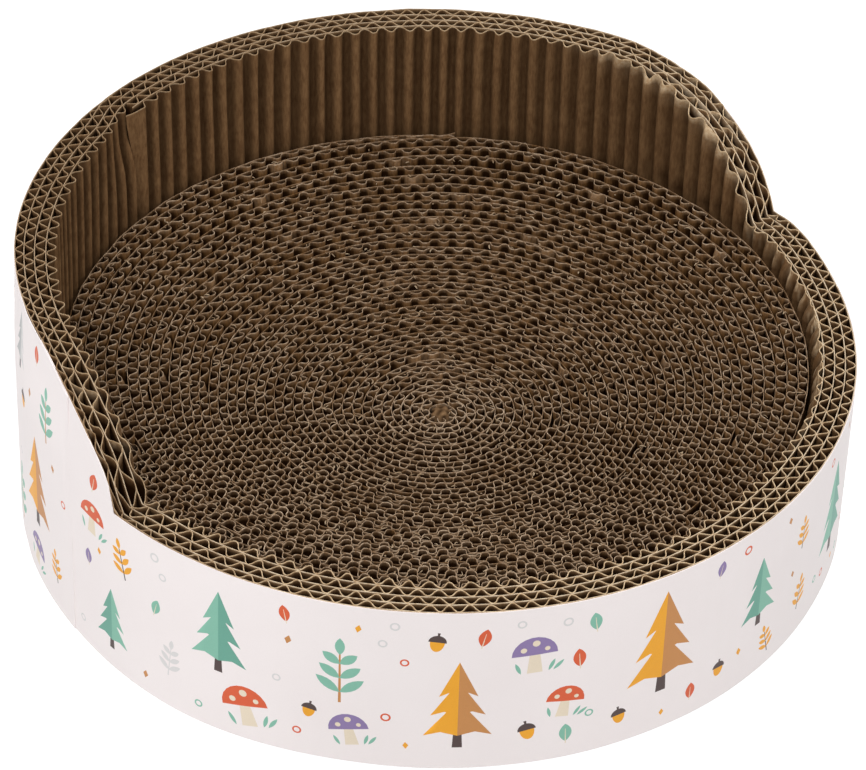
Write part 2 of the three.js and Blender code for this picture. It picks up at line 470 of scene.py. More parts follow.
def strip_piece(name, plan, height, thickness, cut, outer_shade, inner_shade, material):
    """A paper strip on edge: plan and height hold, for each column along it, its points from bottom to top.

    cut is 1 where the sawn edge shows and 0 on the faces; the shades are 1 deep inside a closed cell."""
    columns, levels = height.shape
    tangent = np.gradient(plan, axis=0)
    tangent /= np.linalg.norm(tangent, axis=-1, keepdims=True)
    outward = np.stack([tangent[..., 1], -tangent[..., 0]], -1)
    outer = np.concatenate([plan + outward * thickness / 2, height[..., None]], -1)
    inner = np.concatenate([plan - outward * thickness / 2, height[..., None]], -1)
    verts = np.concatenate([outer.reshape(-1, 3), inner.reshape(-1, 3)])

    index = np.arange(columns * levels).reshape(columns, levels)
    far = index + columns * levels
    a, b = index[:-1], index[1:]
    c, d = far[:-1], far[1:]

    def quads(*corners):
        return np.stack([corner.ravel() for corner in corners], -1)

    faces = np.concatenate([
        quads(a[:, :-1], b[:, :-1], b[:, 1:], a[:, 1:]),
        quads(c[:, :-1], c[:, 1:], d[:, 1:], d[:, :-1]),
        quads(a[:, -1], b[:, -1], d[:, -1], c[:, -1]),
        quads(a[:, 0], c[:, 0], d[:, 0], b[:, 0]),
        quads(index[0, :-1], index[0, 1:], far[0, 1:], far[0, :-1]),
        quads(index[-1, :-1], far[-1, :-1], far[-1, 1:], index[-1, 1:]),
    ])
    piece = new_piece(name, verts, faces, [material])
    add_values(piece, "cut", [np.broadcast_to(cut, height.shape)] * 2)
    add_values(piece, "shade", [np.broadcast_to(shade, height.shape) for shade in (outer_shade, inner_shade)])
    return piece


# Materials


def feed(tree, socket, value):
    """Links a socket to another node's output, or sets it to a plain value."""
    if isinstance(value, bpy.types.NodeSocket):
        tree.links.new(value, socket)
    else:
        socket.default_value = value


def node(tree, kind, *fed, **settings):
    """A shader node with properties and sockets set by name, and its first sockets fed in their order."""
    made = tree.nodes.new(kind)
    for key, value in settings.items():
        if key in made.inputs:
            feed(tree, made.inputs[key], value)
        else:
            setattr(made, key, value)
    for socket, value in zip(made.inputs, fed):
        feed(tree, socket, value)
    return made


def noise(tree, coordinates, scale, detail=3.0, stretch=(1, 1, 1)):
    mapped = node(tree, "ShaderNodeMapping", Vector=coordinates, Scale=stretch).outputs["Vector"]
    made = node(tree, "ShaderNodeTexNoise", Vector=mapped, Scale=scale, Detail=detail, Roughness=0.6)
    return made.outputs["Fac"]


def ramp(tree, value, low, high, first, last):
    """Colour that runs from first to last as value goes from low to high."""
    made = node(tree, "ShaderNodeValToRGB", Fac=value)
    for element, place, colour in zip(made.color_ramp.elements, (low, high), (first, last)):
        element.position = place
        element.color = (*colour, 1)
    return made.outputs["Color"]


def mix(tree, share, first, last):
    """Mixed colour. A colour mix has its factor at socket 0, its colours at 6 and 7, and its result at 2."""
    made = node(tree, "ShaderNodeMix", share, data_type="RGBA")
    feed(tree, made.inputs[6], first)
    feed(tree, made.inputs[7], last)
    return made.outputs[2]


def bump(tree, height, strength, distance, below=None):
    made = node(tree, "ShaderNodeBump", Height=height, Strength=strength, Distance=distance)
    if below is not None:
        feed(tree, made.inputs["Normal"], below)
    return made.outputs["Normal"]


def value_of(tree, name):
    """The number that add_values gave to each vertex under a name, or 0 where it gave none."""
    return node(tree, "ShaderNodeAttribute", attribute_name=name).outputs["Fac"]


def matt_material(name, roughness, specular):
    """An empty matt material: its tree, its shader and the object's own coordinates."""
    material = bpy.data.materials.new(name)
    material.use_nodes = True
    tree = material.node_tree
    shader = tree.nodes["Principled BSDF"]
    shader.inputs["Roughness"].default_value = roughness
    shader.inputs["Specular IOR Level"].default_value = specular
    coordinates = tree.nodes.new("ShaderNodeTexCoord").outputs["Object"]
    return material, tree, shader, coordinates


def kraft(name, dark, light, edge_dark, edge_light):
    """Brown paper: fibres and blotches on its faces, paler where it is cut, and painted shade that turns it
    almost black in closed cells.
    """
    material, tree, shader, coordinates = matt_material(name, roughness=0.95, specular=0.02)
    fibres = noise(tree, coordinates, scale=900, detail=4, stretch=(1, 1, 0.25))
    blotches = noise(tree, coordinates, scale=120, detail=2)
    grain = noise(tree, coordinates, scale=700)
    fine = ramp(tree, fibres, 0.38, 0.62, dark, light)
    coarse = ramp(tree, blotches, 0.35, 0.65, dark, light)
    face = mix(tree, 0.35, fine, coarse)
    # Painted shade in closed cells, by each point's shade value
    shaded = mix(tree, value_of(tree, "shade"), face, (*linear(CELL_SHADE_COLOUR), 1))
    edge = ramp(tree, grain, 0.3, 0.62, edge_dark, edge_light)
    feed(tree, shader.inputs["Base Color"], mix(tree, value_of(tree, "cut"), shaded, edge))
    feed(tree, shader.inputs["Normal"], bump(tree, fibres, strength=0.25, distance=0.15 * MM))
    return material


def printed(name, colour, shade):
    """Smooth coated paper or the ink on it: a faint grain, and the flutes underneath as upright waves."""
    material, tree, shader, coordinates = matt_material(name, roughness=0.48, specular=0.3)
    per_metre = FULL_TURN / WALL_FLUTE_PITCH
    turns = node(tree, "ShaderNodeMath", value_of(tree, "along"), per_metre, operation="MULTIPLY")
    washboard = node(tree, "ShaderNodeMath", turns.outputs["Value"], operation="SINE")
    grain = noise(tree, coordinates, scale=1500)
    cloud = noise(tree, coordinates, scale=25, detail=2)
    fine = ramp(tree, grain, 0.3, 0.7, shade, colour)
    coarse = ramp(tree, cloud, 0.3, 0.7, shade, colour)
    feed(tree, shader.inputs["Base Color"], mix(tree, 0.5, fine, coarse))
    waved = bump(tree, washboard.outputs["Value"], strength=0.5, distance=0.05 * MM)
    feed(tree, shader.inputs["Normal"], bump(tree, grain, strength=0.06, distance=0.1 * MM, below=waved))
    return material


def linear(code, scale=1.0):
    """A #RRGGBB colour as the linear values that shaders use."""
    channels = [int(code[i:i + 2], 16) / 255 for i in (1, 3, 5)]
    return tuple(scale * (c / 12.92 if c <= 0.04045 else ((c + 0.055) / 1.055) ** 2.4) for c in channels)


# Stage: floor, light and camera


def add_floor():
    mesh = bpy.data.meshes.new("floor")
    mesh.from_pydata([(x * FLOOR_REACH, y * FLOOR_REACH, 0) for x, y in SQUARE], [], [(0, 1, 2, 3)])
    floor = add_object("floor", mesh)
    floor.location.z = -FLOOR_DROP
    material = bpy.data.materials.new("floor")
    material.use_nodes = True
    tree = material.node_tree
    tree.nodes.clear()
    matt = node(tree, "ShaderNodeBsdfDiffuse", Color=FLOOR_COLOUR).outputs["BSDF"]
    glow = node(tree, "ShaderNodeEmission", Strength=FLOOR_GLOW).outputs["Emission"]
    both = node(tree, "ShaderNodeAddShader", matt, glow).outputs["Shader"]
    chosen = node(tree, "ShaderNodeMixShader", seen_directly(tree), matt, both).outputs["Shader"]
    node(tree, "ShaderNodeOutputMaterial", Surface=chosen)
    mesh.materials.append(material)


def seen_directly(tree):
    """1 for rays that show the background to the camera, straight, mirrored or through glass."""
    path = tree.nodes.new("ShaderNodeLightPath")
    total = path.outputs["Is Camera Ray"]
    for other in ("Is Glossy Ray", "Is Transmission Ray"):
        total = node(tree, "ShaderNodeMath", total, path.outputs[other], operation="MAXIMUM").outputs["Value"]
    return total


def add_world():
    world = bpy.data.worlds.new("studio")
    bpy.context.scene.world = world
    world.use_nodes = True
    tree = world.node_tree
    tree.nodes.clear()
    light = node(tree, "ShaderNodeBackground", Color=WHITE, Strength=WORLD_LIGHT).outputs["Background"]
    white = node(tree, "ShaderNodeBackground", Color=WHITE, Strength=1.0).outputs["Background"]
    chosen = node(tree, "ShaderNodeMixShader", seen_directly(tree), light, white).outputs["Shader"]
    node(tree, "ShaderNodeOutputWorld", Surface=chosen)


def add_softbox(name, direction, elevation, distance, size, power):
    """A square lamp that looks at the object from a direction and elevation in degrees."""
    lamp = bpy.data.lights.new(name, "AREA")
    lamp.shape = "SQUARE"
    lamp.size = size
    lamp.energy = power
    box = add_object(name, lamp)
    a, e = math.radians(direction), math.radians(elevation)
    place = Vector((math.cos(a) * math.cos(e), math.sin(a) * math.cos(e), math.sin(e)))
    box.location = place * distance
    box.rotation_euler = place.to_track_quat("Z", "Y").to_euler()


def rotated(first, second, angle):
    """Two axes at right angles, both turned in their plane, the first one towards the second."""
    c, s = math.cos(angle), math.sin(angle)
    return first * c + second * s, second * c - first * s


def add_camera():
    """Turned from a straight look at the base's centre until that falls where the photograph has it."""
    flat = Vector((math.cos(CAMERA_DIRECTION), math.sin(CAMERA_DIRECTION), 0))
    place = flat * math.cos(CAMERA_ELEVATION) + Vector((0, 0, math.sin(CAMERA_ELEVATION)))
    forward = -place
    right = Vector((-flat.y, flat.x, 0))
    up = right.cross(forward)
    forward, right = rotated(forward, right, -math.atan(ORIGIN_RIGHT_PX / FOCAL_LENGTH_PX))
    forward, up = rotated(forward, up, math.atan(ORIGIN_BELOW_PX / FOCAL_LENGTH_PX))
    right, up = rotated(right, up, CAMERA_ROLL)
    data = bpy.data.cameras.new("camera")
    data.sensor_width = SENSOR_WIDTH
    data.lens = SENSOR_WIDTH * FOCAL_LENGTH_PX / PHOTO_WIDTH
    data.clip_end = 20
    camera = add_object("camera", data)
    axes = Matrix((right, up, -forward)).transposed()
    camera.matrix_world = Matrix.Translation(place * CAMERA_DISTANCE) @ axes.to_4x4()
    bpy.context.scene.camera = camera


# Wall


def wall_radius(turns):
    """Middle of the liner after some turns; it steps in one layer at the end of each."""
    whole = np.maximum(np.floor(turns), 0)
    jog = smoothstep(turns - whole, 1 - WALL_JOG_SPAN / 360, 1)
    return WALL_RADIUS - WALL_LINER_PAPER / 2 - WALL_LAYER * (whole + jog)


def settled(plan, height):
    """The wall out of round. On the left it leans inwards, its outer layer is squeezed, its tall part is
    pressed thinner and its low part swells at the foot. On the right it bulges, most at its top."""
    radius = np.linalg.norm(plan, axis=-1)
    away = from_back(np.degrees(np.arctan2(plan[..., 1], plan[..., 0])))
    tall = smoothstep(height, LOW_RIM, TALL_RIM)
    depth = WALL_RADIUS - WALL_INNER_RADIUS
    share = np.clip((radius - WALL_INNER_RADIUS) / depth, 0, 1)
    squeezed = zone(away, SQUEEZED) * share**2 * (1 - share) * depth
    leaning = zone(away, LEANING) * (1 - 2 * height / TALL_RIM)
    thinned = zone(away, THINNED) * (1 - smoothstep(away, *THINNED_FADE))
    pressed = thinned * tall * (radius - WALL_INNER_RADIUS)
    bulge = zone(away, BULGING) * height / TALL_RIM
    swollen = zone(away, SWOLLEN) * share * (1 - np.clip(height / LOW_RIM, 0, 1))
    return plan * ((radius + squeezed + leaning - pressed + bulge + swollen) / radius)[..., None]


def raggedness(away):
    """How torn the sawn edge is: most on the two drops."""
    return RAGGED_ANYWHERE + zone(away, RAGGED_RIGHT) + zone(away, RAGGED_LEFT)


def wear(away):
    """How crushed the innermost flutes are: on the right, from the drop forwards, and on the left drop."""
    return np.maximum(np.minimum(zone(away, WORN_RIGHT), 1), zone(away, WORN_LEFT))


def wall_heights(angle, radius, levels, seed):
    """Heights of the wall strip's points, from its bottom to its uneven sawn top."""
    direction = np.degrees(angle)
    uneven = SAWN_UNEVENNESS * raggedness(from_back(direction)) * rough(seed, len(angle), 2)
    top = rim_height(direction, radius) + uneven
    body = WALL_BOTTOM + (top - SAWN_BAND - WALL_BOTTOM) * np.linspace(0, 1, levels - len(SAWN_DROPS))
    return np.concatenate([body, top - SAWN_DROPS], 1)


def wall_cut(angle, radius, levels, seed):
    """How pale the points are: the sawn edge, duller at the back and darkened by painted shade on the outside
    of the left drop, and torn paper below it on both drops."""
    count = len(angle)
    away = from_back(np.degrees(angle))
    torn = np.clip(2 * raggedness(away) - 1.5, 0, 1) * np.clip(1.5 * rough(seed, count, 3), 0, 1)
    outermost = smoothstep(radius, WALL_RADIUS - WALL_LAYER, WALL_RADIUS - 0.3 * WALL_LAYER)
    # Painted shade: the sawn edge on the outside of the left drop is made less pale
    dull_and_shaded = np.maximum(zone(away, DULL_BACK), zone(away, PAINTED_SHADE_LEFT_DROP) * outermost)
    cut = np.zeros((count, levels))
    cut[:, -1:] = (SAWN_PALENESS + SAWN_BLOTCHES * rough(seed + 1, count, 1)) * (1 - dull_and_shaded)
    cut[:, -3:-1] = torn * TORN_PALENESS
    return cut


def cell_shade(height, angle):
    """How dark it is in a closed cell, from the depth below the sawn edge; the slanted drops let light in."""
    away = from_back(np.degrees(angle))
    lit = np.maximum(zone(away, LIT_RIGHT), zone(away, LIT_LEFT))
    depth = height[:, -1:] - height
    return smoothstep(depth, CELL_DUSK, CELL_DARK + CELL_LIT * lit) * (1 - 0.15 * lit) * (depth > 0)


def wall_liner(line, material):
    levels = len(WALL_LINER_LOOSE)
    count = int(line.total / WALL_LINER_STEP)
    angle, radius = line.at(np.linspace(0, line.total, count)[:, None])
    height = wall_heights(angle, radius, levels, WALL_LINER_SEED)
    sway = WALL_LINER_SWAY * raggedness(from_back(np.degrees(angle))) * rough(WALL_LINER_SEED + 1, count, 2)
    plan = polar(radius + sway * WALL_LINER_LOOSE, angle)
    shade = cell_shade(height, angle)
    cut = wall_cut(angle, radius, levels, WALL_LINER_SEED + 2)
    return strip_piece(
        "wall_liner_paper", settled(plan, height), height, WALL_LINER_PAPER, cut, shade, shade, material)


def wall_fluting(name, line, first, last, material):
    """The corrugated paper on the inside of the liner, between two lengths along the strip."""
    levels, seed, *shape = WALL_FLUTE_PIECES[name]
    flutes = int((last - first) / WALL_FLUTE_PITCH)
    pitch = (last - first) / flutes
    length, deep = flute_line(flutes, WALL_FLUTE_POINTS, pitch, *shape, seed)
    length = length + first
    count = len(length)
    angle, radius = line.at(length)
    away = from_back(np.degrees(angle))
    height = wall_heights(angle, radius, levels, seed + 1)
    travel = WALL_LAYER - WALL_LINER_PAPER - WALL_FLUTE_PAPER - 2 * PAPER_GAP
    room = smoothstep(length, 0, line.length_at_turn(0))
    depth = WALL_LINER_PAPER / 2 + WALL_FLUTE_PAPER / 2 + PAPER_GAP + travel * deep * room

    wander = waves(seed + 2, WANDER_WAVE)
    below_top = height[:, -1:] - height
    near_top = 1 - smoothstep(below_top, 0, TORN_REACH)
    torn = raggedness(away)
    sideways = FLUTE_WANDER * wander(length, height * 0.5)
    sideways = sideways + TORN_SIDEWAYS * torn * near_top * rough(seed + 3, count, 3)
    inwards = TIP_WANDER * wander(height, length) * deep
    inwards = inwards + TORN_INWARDS * torn * near_top * (rough(seed + 4, count, 3) - 0.3) * deep
    cut = wall_cut(angle, radius, levels, seed + 5)
    outer_shade = cell_shade(height, angle)
    inner_shade = outer_shade * (1 - 0.5 * smoothstep(deep, *TIP_RANGE))

    if name == "wall_fluting_inner":
        share = (height - WALL_BOTTOM) / (TALL_RIM - WALL_BOTTOM)
        worn = wear(away)
        draw = np.random.default_rng(seed + 7)
        # The last half flute is the flap: 0 at its start, 1 at the strip's end
        flap = np.clip((np.arange(count)[:, None] - count) * 2 / WALL_FLUTE_POINTS + 1, 0, 1)

        # Shade in the open grooves and at the foot, less where the flutes are rubbed
        narrow = zone(away, NARROW_GROOVE_SHADE)
        fade_from = GROOVE_FADE + zone(away, BROAD_GROOVE_SHADE) - NARROW_FADE[0] * narrow
        groove = GROOVE_SHADE * (1 - smoothstep(deep, fade_from, 1.0 - NARROW_FADE[1] * narrow))
        groove = np.maximum(groove, NARROW_SHADE * narrow) * (1 - smoothstep(flap, 0, 0.2))
        rubbed = worn * (1 - smoothstep(below_top, *RUBBED_TOP))
        foot = (FOOT_SHADE - FOOT_TIP_LIGHT * deep) * bump_at(height, PAD_RIM - FOOT_BELOW_RIM, FOOT_REACH)
        inner_shade = np.maximum(groove * (1 - RUBBED_LIGHT * rubbed), foot)

        # Tops that are torn and curled on the right drop, and folded back where they are worn
        dropping = zone(away, TORN_FLUTES)
        tear = TEAR_DEPTH * per_flute(draw, 0, 1, flutes, WALL_FLUTE_POINTS) ** 2
        curl = per_flute(draw, -1, 0.5, flutes, WALL_FLUTE_POINTS) * dropping * near_top**2
        folded = per_flute(draw, 0.5, 1.0, flutes, WALL_FLUTE_POINTS)
        height = height - tear * deep * dropping * near_top
        inwards = inwards + (curl - worn * near_top * folded) * travel * deep
        inwards = inwards + WORN_FRAY * worn * near_top * rough(seed + 8, count, 1)
        pale = rubbed * (0.25 + 0.3 * rough(seed + 9, count, 2)) * draw.uniform(0, 2, height.shape)
        pale = pale + 0.35 * dropping * near_top**2 + 0.7 * np.abs(curl)
        cut[:, :-1] = np.clip(pale, 0, 1)[:, :-1]

        # Inner end of the strip: flutes that fill the step beside it, the crushed ones and the unrolled flap
        stepped = smoothstep(length, first, line.length_at_turn(WALL_TURNS - 1))
        closed = 1 - smoothstep(share, *SLOT_CLOSED)
        inwards = inwards + WALL_LAYER * (1 - stepped) * closed * deep
        crushed = bump_at(length - first, *CRUSHED) * smoothstep(share, CRUSHED_FROM, 1)
        sideways = sideways + CRUSHED_SHIFT * crushed
        inwards = inwards - CRUSHED_SHIFT * crushed * deep
        unrolled = smoothstep(share, *UNROLLED) * smoothstep(flap, 0, 0.4)
        sideways = sideways + flap * (0.1 + 0.9 * unrolled) * (FLAP_WIDTH - pitch / 2)
        inwards = inwards + unrolled * (0.95 - 0.9 * flap**2 - deep) * travel
    plan = settled(polar(radius - depth - inwards, angle + sideways / radius), height)
    return strip_piece(name, plan, height, WALL_FLUTE_PAPER, cut, outer_shade, inner_shade, material)


# Motifs of the print: coloured outlines of size 1 that stand on the origin


def turned(points, angle, x=0.0, y=0.0):
    """Points turned about the origin by an angle in degrees and moved to x, y."""
    c, s = math.cos(math.radians(angle)), math.sin(math.radians(angle))
    return np.stack([x + points[:, 0] * c - points[:, 1] * s, y + points[:, 0] * s + points[:, 1] * c], -1)


def disc(x, y, radius, count=18):
    a = np.arange(count) * FULL_TURN / count
    return np.stack([x + radius * np.cos(a), y + radius * np.sin(a)], -1)


def dome(y, rx, ry, count=12):
    """The upper half of an ellipse, or the lower half where ry is negative."""
    a = np.linspace(0, math.pi, count)
    return np.stack([rx * np.cos(a), y + ry * np.sin(a)], -1)


def blade(x, y, length, width, angle, count=7):
    """A leaf with two pointed ends that grows from x, y in a direction in degrees."""
    t = np.linspace(0, 1, count)
    half = width / 2 * np.sin(math.pi * t) ** 0.8
    line = np.concatenate([np.stack([t * length, half], -1), np.stack([t * length, -half], -1)[-2:0:-1]])
    return turned(line, angle, x, y)


def bar(low, high, bottom_width, top_width):
    half, tip = bottom_width / 2, top_width / 2
    return [(-half, low), (half, low), (tip, high), (-tip, high)]


def fir(colour, shade):
    shapes = [("brown", bar(0, 0.2, 0.09, 0.07))]
    for low, high, half in ((0.14, 0.56, 0.3), (0.38, 0.78, 0.24), (0.6, 1.0, 0.17)):
        dip = low + 0.045
        shapes.append((colour, [(-half, low), (-half / 2, dip), (0, low), (0, high)]))
        shapes.append((shade, [(0, low), (half / 2, dip), (half, low), (0, high)]))
    return shapes


def mushroom(cap):
    shapes = [("cream", bar(0, 0.55, 0.34, 0.22)), (cap, dome(0.5, 0.5, 0.5))]
    for x, y, radius in ((-0.24, 0.66, 0.07), (0.03, 0.82, 0.085), (0.27, 0.64, 0.06)):
        shapes.append(("cream", disc(x, y, radius, 12)))
    for x, angle in ((-0.3, 110), (0.3, 65), (0.4, 45)):
        shapes.append(("teal", blade(x, 0, 0.34, 0.09, angle)))
    return shapes


def acorn(nut):
    return [
        ("brown", bar(0.84, 1, 0.08, 0.12)),
        (nut, dome(0.52, 0.3, -0.52)),
        ("brown", dome(0.5, 0.37, 0.36)),
    ]


def sprig(stem, blades):
    shapes = [(stem, bar(0, 0.8, 0.035, 0.02))]
    for step in range(3):
        for angle in (38, 142):
            shapes.append((blades, blade(0, 0.16 + 0.22 * step, 0.36 - 0.05 * step, 0.13, angle)))
    shapes.append((blades, blade(0, 0.74, 0.26, 0.12, 90)))
    return shapes


def leaf(colour, rib):
    return [(colour, blade(0, 0.1, 0.9, 0.5, 90, 11)), (rib, bar(0, 0.75, 0.05, 0.02))]


def ring(colour):
    return [(colour, disc(0, 0.5, 0.5)), ("paper", disc(0, 0.5, 0.31))]


def diamond(colour):
    return [(colour, [(0, 0), (0.32, 0.5), (0, 1), (-0.32, 0.5)])]


# How many motifs of each size the sheet gets at most, the margin round them, and what they are, by turns
MOTIFS = [
    (16, 52 * MM, 4 * MM, [(fir, "teal", "deep_teal"), (fir, "mustard", "bronze")]),
    (26, 34 * MM, 5 * MM, [(fir, "deep_teal", "teal"), (fir, "grey", "pale_grey"),
                           (sprig, "bronze", "teal")]),
    (46, 20 * MM, 5 * MM, [(mushroom, "orange"), (sprig, "brown", "mustard"), (mushroom, "purple"),
                           (sprig, "pale_grey", "pale_grey")]),
    (70, 11 * MM, 5 * MM, [(acorn, "bronze"), (leaf, "orange", "cream"), (leaf, "teal", "cream"),
                           (acorn, "mustard"), (leaf, "purple", "cream")]),
    (80, 4.5 * MM, 5 * MM, [(diamond, "bronze"), (ring, "orange"), (ring, "teal"), (diamond, "mustard"),
                            (ring, "pale_grey")]),
]


# Printed wrap


def anticlockwise(points):
    x, y = points[:, 0], points[:, 1]
    area = np.sum(x * np.roll(y, -1) - np.roll(x, -1) * y)
    return points if area > 0 else points[::-1]


def scattered_motifs(width):
    """Woodland motifs strewn over the sheet, the large ones first, none touching another."""
    draw = np.random.default_rng(MOTIF_SEED)
    lap = width * WRAP_LAP_SPAN / (360 + WRAP_LAP_SPAN)
    taken = []
    shapes = []
    for wanted, base_size, margin, makers in MOTIFS:
        placed = 0
        for _ in range(wanted * MOTIF_TRIES):
            if placed == wanted:
                break
            size = base_size * draw.uniform(*MOTIF_SIZES)
            reach = 0.5 * size
            x = draw.uniform(lap + MOTIF_SEAM_MARGIN + reach, width - MOTIF_SEAM_MARGIN - reach)
            y = draw.uniform(WRAP_BOTTOM + MOTIF_FOOT_MARGIN, TALL_RIM - size)
            tilt = draw.uniform(-MOTIF_TILT, MOTIF_TILT) if size < UPRIGHT_FROM else 0.0
            ceiling = min(sheet_top(x - reach), sheet_top(x), sheet_top(x + reach)) - MOTIF_RIM_MARGIN
            middle = np.array([x, y + reach])
            clear = all(np.linalg.norm(middle - spot) > reach + other + margin for spot, other in taken)
            if y + size > ceiling or not clear:
                continue
            maker, *colours = makers[placed % len(makers)]
            for colour, points in maker(*colours):
                shapes.append((colour, anticlockwise(turned(np.array(points) * size, tilt)) + (x, y)))
            taken.append((middle, reach))
            placed += 1
    return shapes


def sheet_direction(along):
    return WRAP_SEAM_DIRECTION + 360 * along / (FULL_TURN * WRAP_RADIUS)


def sheet_top(along):
    return float(rim_height(np.array(sheet_direction(along)), WRAP_RADIUS))


def rolled(flat, inset):
    """Points of the flat sheet on the wall, a little inside its outer face; its end climbs over its start."""
    direction = sheet_direction(flat[:, 0])
    lap = smoothstep(direction - WRAP_SEAM_DIRECTION, *WRAP_CLIMB)
    ripple = WRAP_RIPPLE * waves(WRAP_SEED, WRAP_RIPPLE_WAVE)(flat[:, 0], flat[:, 1] * 0.4)
    radius = WRAP_RADIUS - inset + lap * (WRAP_PAPER + 2 * PAPER_GAP) + ripple - WRAP_INSET
    plan = settled(polar(radius, np.radians(direction)), flat[:, 1])
    return np.concatenate([plan, flat[:, 1:]], 1)


def printed_wrap(paper, inks):
    """One sheet, cut to the wall's outline, printed, rolled round the wall and lapped."""
    width = FULL_TURN * WRAP_RADIUS * (1 + WRAP_LAP_SPAN / 360)
    along = np.linspace(0, width, int(width / WRAP_GRID_STEP))
    top = np.array([sheet_top(x) for x in along]) - WRAP_BELOW_RIM
    bottom_row = np.stack([along, np.full(len(along), WRAP_BOTTOM)], -1)
    top_row = np.stack([along, top], -1)
    outline = np.concatenate([bottom_row, top_row[::-1]])
    inside = [np.stack([along[1:-1], WRAP_BOTTOM + (top[1:-1] - WRAP_BOTTOM) * k / WRAP_LEVELS], -1)
              for k in range(1, WRAP_LEVELS)]
    shapes = scattered_motifs(width)
    points = np.concatenate([outline, *[points for _, points in shapes], *inside])
    loops = [list(range(len(outline)))]
    for _, shape in shapes:
        first = loops[-1][-1] + 1
        loops.append(list(range(first, first + len(shape))))
    plane = [Vector(point) for point in points]
    verts, _, faces, _, _, sources = delaunay_2d_cdt(plane, [], loops, 0, WELD_DISTANCE, True)

    flat = np.array([tuple(v) for v in verts])
    on_sheet = [i for i, source in enumerate(sources) if 0 in source]
    slot_of = {name: slot for slot, name in enumerate(["paper", *inks])}
    colours = ["paper"] + [colour for colour, _ in shapes]
    print_slots = [slot_of[colours[max(sources[i])]] for i in on_sheet]
    front = np.array([tuple(faces[i]) for i in on_sheet])
    count = len(flat)
    edges = dict.fromkeys((a, b) for face in front for a, b in zip(face, np.roll(face, -1)))
    rim = np.array([(b, a, a + count, b + count) for a, b in edges if (b, a) not in edges])
    shell = np.concatenate([rolled(flat, 0), rolled(flat, WRAP_PAPER)])
    all_faces = front.tolist() + (front[:, ::-1] + count).tolist() + rim.tolist()
    face_slots = print_slots + [0] * (len(front) + len(rim))
    piece = new_piece("wrap_sheet", shell, all_faces, [paper, *inks.values()], face_slots)
    add_values(piece, "along", [flat[:, 0]] * 2)
    return piece


# Scratching pad


def pad_radius(turns):
    """Middle of the pad's liner after some turns from its outer end: a spiral, but rounder in its outer
    turns, which step in only where that end lies on them."""
    begun = turns + PAD_STEP_LEAD / 360
    whole = np.floor(begun)
    stepped = np.maximum(whole - 1 + smoothstep(begun - whole, 0, PAD_STEP_SPAN / 360), 0)
    inner = smoothstep(turns, *PAD_ROUND_TURNS)
    return PAD_RADIUS - PAD_LINER_PAPER / 2 - PAD_PITCH * (turns * inner + stepped * (1 - inner))


def pad_dish(radius):
    return PAD_DISH * (radius / PAD_RADIUS) ** 2


def pad_warp(plan):
    """The winding out of round: its core is off centre and crumpled, and its turns wander a little."""
    x, y = plan[..., 0], plan[..., 1]
    radius = np.hypot(x, y)
    wander = PAD_WANDER * (1 - smoothstep(radius, 0.75 * PAD_RADIUS, PAD_RADIUS - 2 * MM))
    crumple = CORE_CRUMPLE * (1 - smoothstep(radius, *CORE_CRUMPLE_FADE))
    moves = []
    for seed in (PAD_WARP_SEED, PAD_WARP_SEED + 1):
        wide = waves(seed, PAD_WANDER_WAVE)(x, y) * wander
        moves.append(wide + waves(seed + 2, CORE_CRUMPLE_WAVE)(x, y) * crumple)
    shift = (1 - (radius / PAD_RADIUS) ** 2)[..., None] * np.array(PAD_CORE_SHIFT)
    return plan + shift + np.stack(moves, -1)


def pad_heights(angle, radius, unevenness, seed):
    """Heights of the pad strip's points: the dish, a slight step from turn to turn and an uneven sawn top."""
    turn_step = PAD_TURN_STEP * waves(PAD_STEP_SEED, 9.0)(radius / MM, angle * 0.35)
    top = PAD_BOTTOM + PAD_STRIP_WIDTH + pad_dish(radius) + turn_step
    top = top + unevenness * rough(seed, len(radius), 2) - PAD_TOP_SINK
    return top - PAD_LEVEL_DROPS


def pad_cut(radius, strength, seed):
    """How pale the points are: the sawn edge, brighter in some places than others, and the crumpled core."""
    count = len(radius)
    strength = strength + zone(radius, PALE_MIDDLE)
    edge = np.clip(strength + 0.25 * rough(seed, count, 1) + 0.15 * rough(seed + 1, count, 12), 0, 1)
    core = zone(radius, PALE_CORE)
    return np.concatenate([0 * edge, 0 * edge, 0.5 * core, 0.15 * edge + core, np.maximum(edge, core)], 1)


def pad_liner(line, material):
    count = int(line.total / PAD_LINER_STEP)
    length = np.linspace(0, line.total, count)[:, None]
    angle, radius = line.at(length)
    tail = np.clip(1 - length / PAD_TAIL, 0, 1) ** 2
    height = pad_heights(angle, radius, PAD_LINER_UNEVENNESS, PAD_LINER_SEED)
    height = height + PAD_TAIL_RISE * tail * PAD_LOOSE
    sway = PAD_LINER_SWAY * rough(PAD_LINER_SEED + 1, count, 1)
    plan = polar(radius + PAD_TAIL_SPREAD * tail + sway * PAD_LOOSE, angle)
    cut = pad_cut(radius, PAD_LINER_PALENESS, PAD_LINER_SEED + 2)
    # The outer face of the outermost turn is open to the light
    first_turn = line.length_at_turn(1)
    outer_shade = PAD_SHADE * smoothstep(length, first_turn - 5 * MM, first_turn)
    return strip_piece(
        "pad_liner_paper", pad_warp(plan), height, PAD_LINER_PAPER, cut, outer_shade, PAD_SHADE, material)


